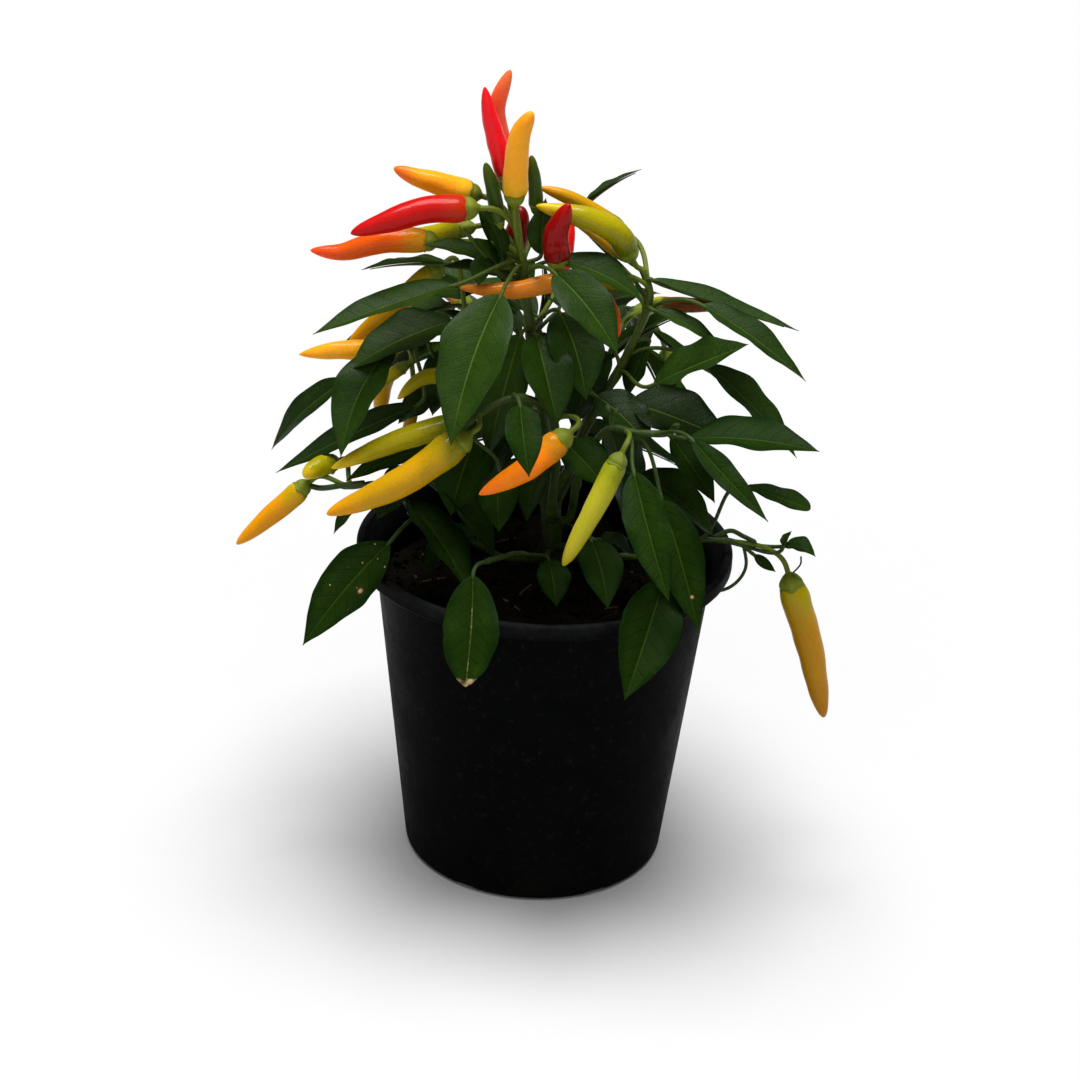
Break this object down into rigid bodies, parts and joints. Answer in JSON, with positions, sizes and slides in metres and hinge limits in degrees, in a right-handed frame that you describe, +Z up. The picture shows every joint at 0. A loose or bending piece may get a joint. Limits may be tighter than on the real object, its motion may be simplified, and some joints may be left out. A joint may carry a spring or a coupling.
{
  "type": "potted chilli pepper plant",
  "caption": "Ornamental chilli pepper plant with ripening upright and hanging chillies and pointed leaves, in a black nursery pot.",
  "frame": {"origin": "middle of the pot's underside", "axes": "+Z up, -Y towards the front, +X to the right"},
  "size_m": [0.2699, 0.2289, 0.3682],
  "materials": {
    "pot": "satin",
    "soil": "matte",
    "stem": "satin",
    "leaf": "satin",
    "crimson": "gloss",
    "red": "gloss",
    "orange_red": "gloss",
    "orange": "gloss",
    "amber": "gloss",
    "golden": "gloss",
    "yellow_green": "gloss",
    "unripe": "gloss"
  },
  "bodies": {
    "root": {"pot": "pot", "soil": "soil", "main_stem": "stem", "shoot_crown": "leaf", "chilli_crown_1": "orange_red", "chilli_crown_2": "crimson", "chilli_crown_3": "amber", "chilli_crown_4": "unripe", "chilli_crown_5": "unripe", "chilli_crown_6": "orange", "chilli_crown_7": "red", "chilli_crown_8": "orange", "chilli_crown_9": "yellow_green", "chilli_crown_10": "crimson", "chilli_crown_11": "red", "chilli_crown_12": "amber", "chilli_crown_13": "red", "chilli_crown_14": "yellow_green", "shoot_right_upper": "leaf", "chilli_right_upper_1": "golden", "chilli_right_upper_2": "yellow_green", "chilli_right_upper_3": "golden", "chilli_right_upper_4": "orange", "chilli_right_upper_5": "crimson", "chilli_right_upper_6": "golden", "shoot_right_mid": "leaf", "chilli_right_mid_1": "yellow_green", "shoot_right_low": "leaf", "chilli_right_low_1": "golden", "shoot_left_front": "leaf", "chilli_left_front_1": "yellow_green", "chilli_left_front_2": "golden", "chilli_left_front_3": "golden", "chilli_left_front_4": "yellow_green", "chilli_left_front_5": "orange", "shoot_left_upper": "leaf", "chilli_left_upper_1": "golden", "chilli_left_upper_2": "amber", "chilli_left_upper_3": "yellow_green", "chilli_left_upper_4": "yellow_green", "chilli_left_upper_5": "golden", "shoot_back_left": "leaf", "chilli_back_left_1": "orange", "chilli_back_left_2": "golden", "shoot_back_right": "leaf", "chilli_back_right_1": "yellow_green", "chilli_back_right_2": "orange", "shoot_back_low": "leaf", "chilli_back_low_1": "amber", "shoot_left_low": "leaf", "shoot_front_right": "leaf", "shoot_front_low": "leaf"}
  },
  "joints": []
}
